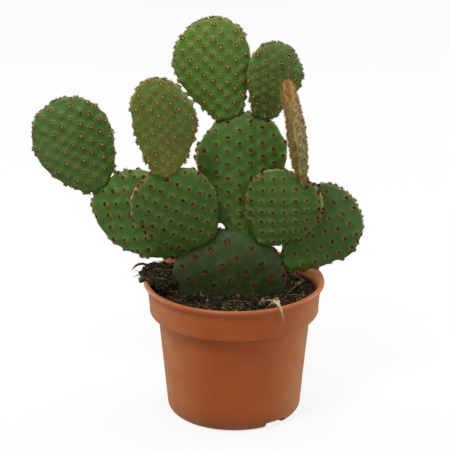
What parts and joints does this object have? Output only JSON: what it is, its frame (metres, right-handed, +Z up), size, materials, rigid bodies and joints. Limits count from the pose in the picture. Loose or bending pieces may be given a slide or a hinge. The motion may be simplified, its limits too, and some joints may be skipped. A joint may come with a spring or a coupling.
{
  "type": "potted paddle cactus",
  "caption": "Prickly pear cactus with flat oval pads growing out of one another, rooted in soil in a round plastic nursery pot with a deep collar and a drain notch.",
  "frame": {"origin": "centre of the pot's underside, on the surface it stands on", "axes": "+Z up; -Y is the front, the side the plant is seen from; +X is to the right seen from the front"},
  "size_m": [0.2183, 0.12, 0.2653],
  "materials": {
    "terracotta_plastic": "satin",
    "potting_soil": "matte",
    "dry_leaf": "matte",
    "dry_root": "matte",
    "live_root": "matte",
    "old_pad_skin": "satin",
    "pad_skin": "satin",
    "young_pad_skin": "satin"
  },
  "bodies": {
    "root": {"pot": "terracotta_plastic", "soil": "potting_soil", "soil_mound": "potting_soil", "dead_leaf": "dry_leaf", "root_strand": "dry_root", "roots": "live_root", "base_pad": "old_pad_skin", "centre_pad": "pad_skin", "left_rear_pad": "pad_skin", "left_front_pad": "pad_skin", "right_front_pad": "pad_skin", "right_rear_pad": "pad_skin", "top_pad": "pad_skin", "top_right_pad": "pad_skin", "far_left_pad": "pad_skin", "upper_left_pad": "young_pad_skin", "edge_on_pad": "young_pad_skin"}
  },
  "joints": []
}
